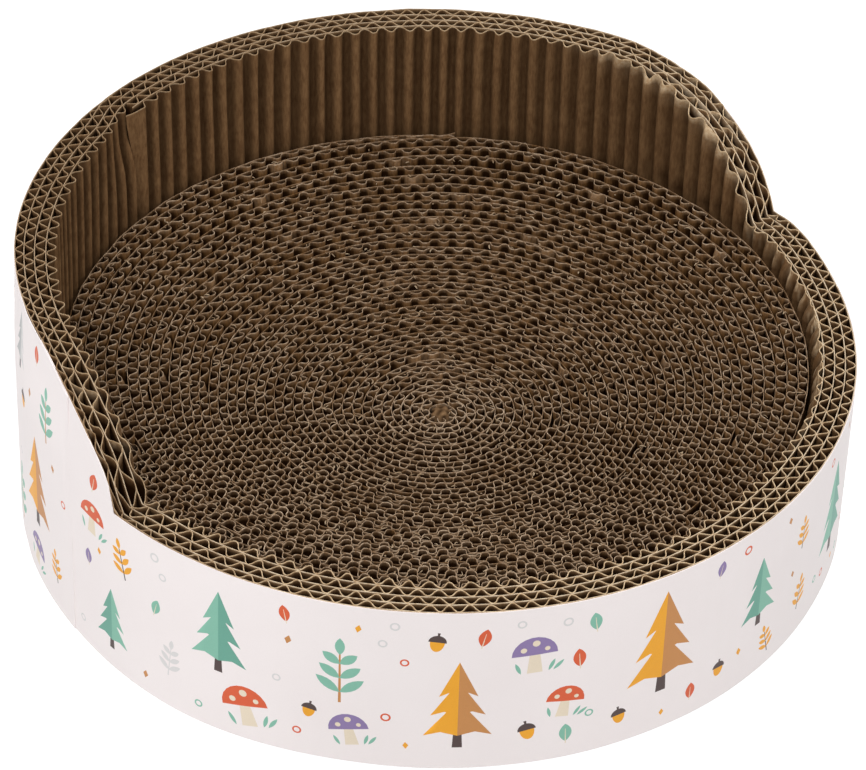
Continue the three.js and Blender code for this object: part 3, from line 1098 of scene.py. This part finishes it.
def pad_fluting(name, line, first, last, seed, material):
    """The corrugated paper on the inside of the pad's liner, between two lengths along the strip."""
    flutes = int((last - first) / PAD_FLUTE_PITCH)
    pitch = (last - first) / flutes
    middle, _ = line.at(first + (np.arange(flutes) + 0.5) * pitch)
    flank = PAD_FLANK - PAD_FLANK_SWING * np.cos(middle - PAD_SLANT_DIRECTION)
    length, deep = flute_line(flutes, PAD_FLUTE_POINTS, pitch, flank, PAD_BROAD_TIPS, PAD_PITCH_JITTER, seed)
    angle, radius = line.at(length + first)
    count = len(length)
    height = pad_heights(angle, radius, PAD_FLUTE_UNEVENNESS, seed + 1)
    turns = (angle - math.radians(PAD_END_DIRECTION)) / FULL_TURN
    room = pad_radius(turns) - pad_radius(turns + 1)
    travel = np.maximum(room - PAD_LINER_PAPER - PAD_FLUTE_PAPER - 2 * PAPER_GAP, 0)
    depth = PAD_LINER_PAPER / 2 + PAD_FLUTE_PAPER / 2 + PAPER_GAP + travel * deep

    draw = np.random.default_rng(seed + 2)
    lean = PAD_FLUTE_LEAN * per_flute(draw, -1, 1, flutes, PAD_FLUTE_POINTS) * deep
    even = polar(radius, angle)
    patches = waves(seed + 5, PATCH_WAVE)(even[..., 0], even[..., 1]) > PATCH_LEVEL
    from_spot = np.linalg.norm(even - np.array(RUBBED_SPOT), axis=-1)
    likely = FLATTENED_ANYWHERE + FLATTENED_PATCHES * patches + zone(from_spot, RUBBED_SPOT_ZONE)
    chosen = per_flute(draw, 0, 1, flutes, PAD_FLUTE_POINTS) < likely
    flattened = chosen * per_flute(draw, *FLATTENED, flutes, PAD_FLUTE_POINTS)

    sideways = lean + PAD_FLUTE_SWAY * rough(seed + 3, count, 2) * PAD_LOOSE
    folded = flattened * deep * travel * PAD_LOOSE
    frayed = PAD_FLUTE_FRAY * rough(seed + 4, count, 2) * PAD_LOOSE
    to_front = smoothstep(-np.cos(angle - PAD_SLANT_DIRECTION), *FLUSH_TO_FRONT)
    proud = PAD_PROUD_TIPS * (1 - FLUSH_SHARE * to_front * (1 - smoothstep(radius, *FLUSH_FADE)))
    height = height + (proud - FLATTENED_SINK * flattened) * deep * PAD_LOOSE
    plan = pad_warp(polar(radius - depth + folded + frayed, angle + sideways / radius))
    cut = np.maximum(pad_cut(radius, PAD_FLUTE_PALENESS, seed + 6), 0.3 * flattened * PAD_LOOSE)
    tip = smoothstep(deep, *TIP_RANGE)
    inner_shade = (PAD_SHADE * (1 - tip) + PAD_TIP_SHADE * tip) * (1 - flattened)
    return strip_piece(name, plan, height, PAD_FLUTE_PAPER, cut, PAD_SHADE, inner_shade, material)


def pad_lump(material):
    """The crumpled start of the strip, pushed up in the middle of the pad: an uneven dome with painted shade,
    darkest in its hollows.
    """
    rings, sides = 9, 28
    share = np.linspace(0.02, 1, rings)[:, None]
    angle = np.arange(sides)[None, :] * FULL_TURN / sides
    flat = polar(LUMP_RADIUS * share, angle)
    creases = waves(LUMP_SEED, LUMP_CREASE_WAVE)(flat[..., 0], flat[..., 1])
    reach = 1 + 0.10 * creases * share
    middle = pad_warp(np.zeros(2))
    top = PAD_BOTTOM + PAD_STRIP_WIDTH - LUMP_SINK
    height = top + LUMP_RISE * (1 - share**2) + LUMP_CREASE * creases * (1 - share**2)
    height[-1] = top - LUMP_DEPTH
    spots = np.concatenate([middle + flat * reach[..., None], height[..., None]], -1).reshape(-1, 3)
    index = np.arange(rings * sides).reshape(rings, sides)
    beside = np.roll(index, -1, 1)
    sheet = np.stack([index[:-1], index[1:], beside[1:], beside[:-1]], -1).reshape(-1, 4).tolist()
    caps = [index[0].tolist(), index[-1][::-1].tolist()]
    piece = new_piece("pad_lump", spots, sheet + caps, [material])
    # Painted shade over the lump, darkest in its hollows
    add_values(piece, "shade", np.clip(0.35 - 0.4 * creases, 0, 0.9))
    return piece


def pad_crumbs(material):
    """Torn fibres and crumbs of paper that lie on the sawn edges: curled and tapered bars."""
    draw = np.random.default_rng(CRUMB_SEED)
    steps, corners = 4, len(SQUARE)
    verts, faces = [], []
    for _ in range(CRUMBS):
        radius = PAD_RADIUS * CRUMB_SPREAD * math.sqrt(draw.uniform(0.0005, 1))
        angle = draw.uniform(0, FULL_TURN)
        heading = draw.uniform(0, FULL_TURN)
        length = draw.uniform(*CRUMB_LENGTHS_MM) * MM
        half = np.array([draw.uniform(*CRUMB_HALF_WIDTHS_MM), CRUMB_HALF_THICKNESS_MM]) * MM
        curl = draw.uniform(-CRUMB_CURL, CRUMB_CURL)
        rise = draw.uniform(*CRUMB_RISES_MM) * MM
        start = pad_warp(np.array([radius * math.cos(angle), radius * math.sin(angle)]))
        low = PAD_BOTTOM + PAD_STRIP_WIDTH + pad_dish(radius)
        base = len(verts)
        for k in range(steps):
            t = k / (steps - 1)
            turn = heading + curl * t
            ahead = np.array([math.cos(turn), math.sin(turn)])
            aside = np.array([-ahead[1], ahead[0]])
            taper = 1 - 0.6 * abs(2 * t - 1) ** 2
            middle = start + ahead * length * t
            for u, w in SQUARE:
                spot = middle + aside * u * half[0] * taper
                verts.append((*spot, low + math.sin(t * math.pi) * rise + w * half[1]))
        end = base + corners * (steps - 1)
        for row in range(base, end, corners):
            for c in range(corners):
                a = row + c
                b = row + (c + 1) % corners
                faces.append((a, b, b + corners, a + corners))
        faces.append((base + 3, base + 2, base + 1, base))
        faces.append((end, end + 1, end + 2, end + 3))
    piece = new_piece("pad_crumbs", np.array(verts), faces, [material])
    paleness = np.random.default_rng(CRUMB_SEED + 1).uniform(0.2, 1, CRUMBS)
    add_values(piece, "cut", paleness.repeat(steps * corners))
    return piece


def dress(piece, body, slot, *nodes):
    """Hangs a piece on its body and hides the CAD nodes that it stands for; slot is not used."""
    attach(piece, body)
    if nodes:
        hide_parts(*nodes)


# The scene

bpy.context.scene.view_settings.view_transform = "Standard"
add_floor()
add_world()
for name, placing in SOFTBOXES.items():
    add_softbox(name, *placing)
add_camera()

papers = {name: kraft(name, *[linear(tone) for tone in tones]) for name, tones in KRAFT_TONES.items()}
wrap_paper = printed("wrap_paper", *[linear(tone) for tone in WRAP_TONES])
inks = {name: printed("ink_" + name, linear(code), linear(code, INK_SHADE)) for name, code in INKS.items()}

jog_turn = WALL_JOG_SPAN / 360
wall_line = Winding(
    wall_radius, WALL_INNER_END + WALL_JOG_SPAN, -WALL_OUTER_LEAD / 360, WALL_TURNS - jog_turn)
wall_splits = (0, wall_line.length_at_turn(WALL_TURNS - 1 - jog_turn), wall_line.total)
dress(wall_liner(wall_line, papers["wall_board"]), "shell", "wall_board", "wall_liner")
for name, first, last in zip(WALL_FLUTE_PIECES, wall_splits, wall_splits[1:]):
    fluting = wall_fluting(name, wall_line, first, last, papers["wall_flutes"])
    dress(fluting, "shell", "wall_flutes", "wall_fluting")
dress(printed_wrap(wrap_paper, inks), "shell", "wrap_paper", "printed_wrap")

pad_line = Winding(pad_radius, PAD_END_DIRECTION, 0, PAD_TURNS)
dress(pad_liner(pad_line, papers["pad_board"]), "pad", "pad_board", "pad_strip")
first = 0
for name, (end_radius, seed) in PAD_FLUTE_PIECES.items():
    last = pad_line.length_at_radius(end_radius)
    fluting = pad_fluting(name, pad_line, first, last, seed, papers["pad_board"])
    dress(fluting, "pad", "pad_board", "pad_strip")
    first = last
dress(pad_lump(papers["pad_crumbs"]), "pad", "pad_board")
dress(pad_crumbs(papers["pad_crumbs"]), "pad", "pad_board")

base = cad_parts["base_disc"]
base.data.materials.clear()
base.data.materials.append(papers["base_board"])
